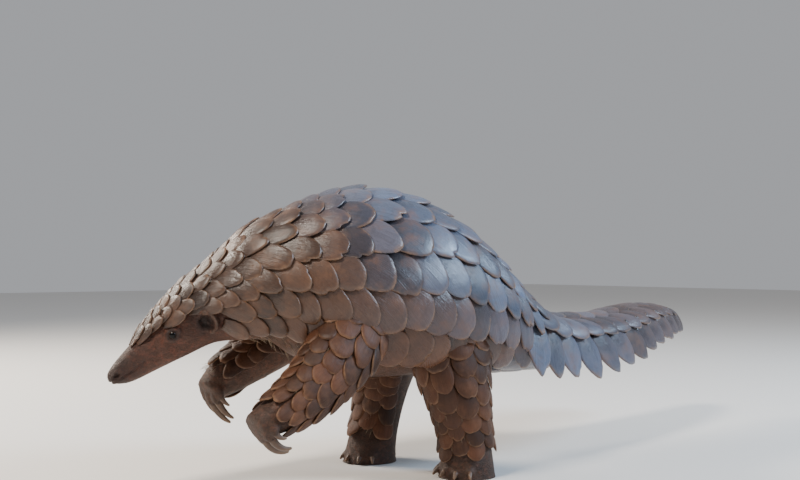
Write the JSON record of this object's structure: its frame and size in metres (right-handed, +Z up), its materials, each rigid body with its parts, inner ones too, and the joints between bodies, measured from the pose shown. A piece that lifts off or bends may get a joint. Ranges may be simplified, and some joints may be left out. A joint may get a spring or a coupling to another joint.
{
  "type": "ground pangolin model",
  "caption": "Life-size still model of a ground pangolin walking on its hind legs, with overlapping scutes, small pointed head, curled foreclaws and a broad scaled tail.",
  "frame": {"origin": "on the floor, under the middle of the animal's box", "axes": "+X runs from the head to the tail, +Z is up, and the animal's left side faces -Y"},
  "size_m": [0.9162, 0.2256, 0.3086],
  "materials": {
    "scutes": "horn-like scutes, grey-brown at the front and slate grey on the rump, with paler worn rims and fine lengthwise striae, satin",
    "limbs": "dark brown scaled legs, dusty, matt",
    "skin": "bare reddish-brown skin of the face, ears, belly and inner legs, with fine wrinkles, matt",
    "claws": "brown horn claws, worn paler at the tips, satin",
    "eyes": "black, wet and glossy",
    "hair": "sparse pale bristles between the scutes, matt"
  },
  "bodies": {
    "root": {"head": "scutes", "neck": "scutes", "torso": "scutes", "tail_base": "scutes", "tail_middle": "scutes", "tail_tip": "scutes", "foreleg_left": "limbs", "foreleg_right": "limbs", "forefoot_left": "limbs", "forefoot_right": "limbs", "hindleg_left": "limbs", "hindleg_right": "limbs", "hindfoot_left": "limbs", "hindfoot_right": "limbs", "ear_left": "skin", "ear_right": "skin", "eye_left": "eyes", "eye_right": "eyes"}
  },
  "joints": []
}
